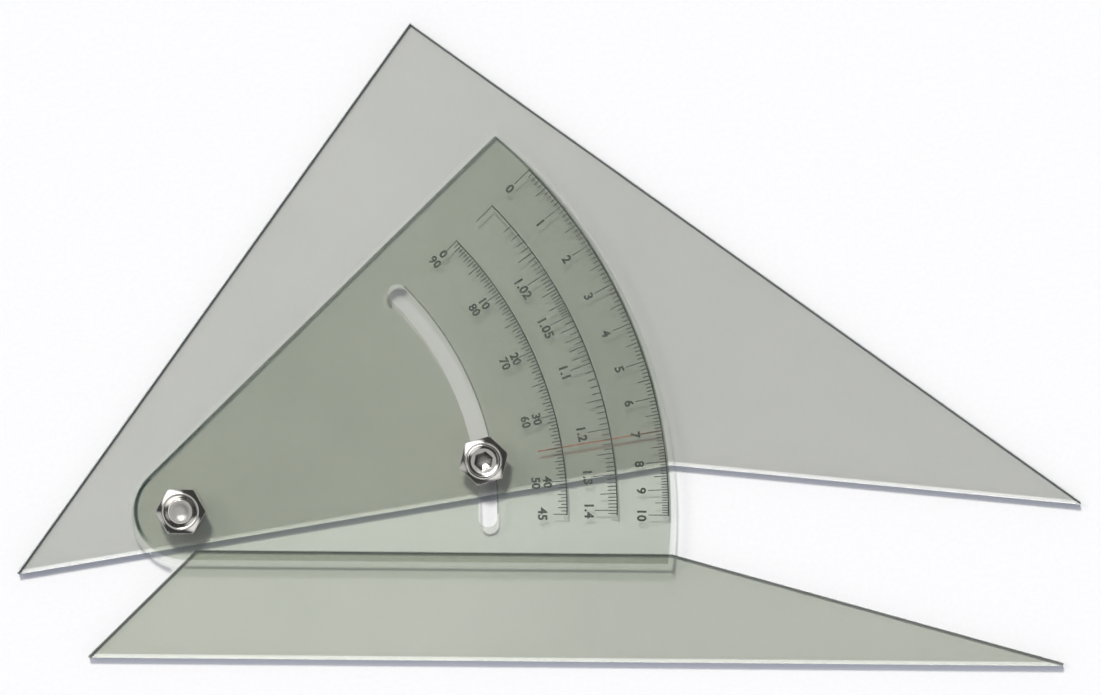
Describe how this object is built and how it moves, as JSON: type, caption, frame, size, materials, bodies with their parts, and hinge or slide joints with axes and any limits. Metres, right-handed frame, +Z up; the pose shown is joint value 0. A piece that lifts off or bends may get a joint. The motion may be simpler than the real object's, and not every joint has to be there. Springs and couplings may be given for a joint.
{
  "type": "adjustable set square",
  "caption": "Adjustable set square: two clear smoke-tinted ruling blades on one pivot, a slotted protractor with printed scales, and a clamp.",
  "frame": {"origin": "the pivot's axis, on the plane of the underside", "axes": "+X along the base arm's ruling edge to its long tip, +Y up the page, +Z up off the table"},
  "size_m": [0.2652, 0.1591, 0.0124],
  "materials": {
    "clear_sheet": "polished clear acrylic, smoke-green tint",
    "scale_ink": "dark screen-printed ink",
    "index_ink": "red-brown ink in a shallow groove",
    "bright_nickel": "bright nickel plate",
    "insert_brass": "turned brass"
  },
  "bodies": {
    "base": {"base_arm": "clear_sheet", "protractor_sector": "clear_sheet", "degree_scale": "scale_ink", "slope_scale": "scale_ink", "rise_scale": "scale_ink", "pivot_screw": "bright_nickel", "pivot_nut": "bright_nickel"},
    "arm": {"moving_arm": "clear_sheet", "index_line": "index_ink", "clamp_insert": "insert_brass"},
    "collar": {"clamp_collar": "bright_nickel"},
    "screw": {"clamp_screw": "bright_nickel"}
  },
  "joints": [
    {"name": "arm_swing", "type": "hinge", "parent": "base", "child": "arm", "pos_m": [0, 0, 0], "axis": [0, 0, 1], "range_deg": [-10, 35]},
    {"name": "clamp_lift", "type": "slide", "parent": "arm", "child": "collar", "axis": [0, 0, 1], "range_m": [0, 0.0007]},
    {"name": "clamp_turn", "type": "hinge", "parent": "collar", "child": "screw", "pos_m": [0.07514, 0.01325, 0.0088], "axis": [0, 0, 1], "range_deg": [0, 361]}
  ],
  "couplings": [
    {"joint": "clamp_turn", "follows": "clamp_lift", "rad_per_m": 8976}
  ]
}
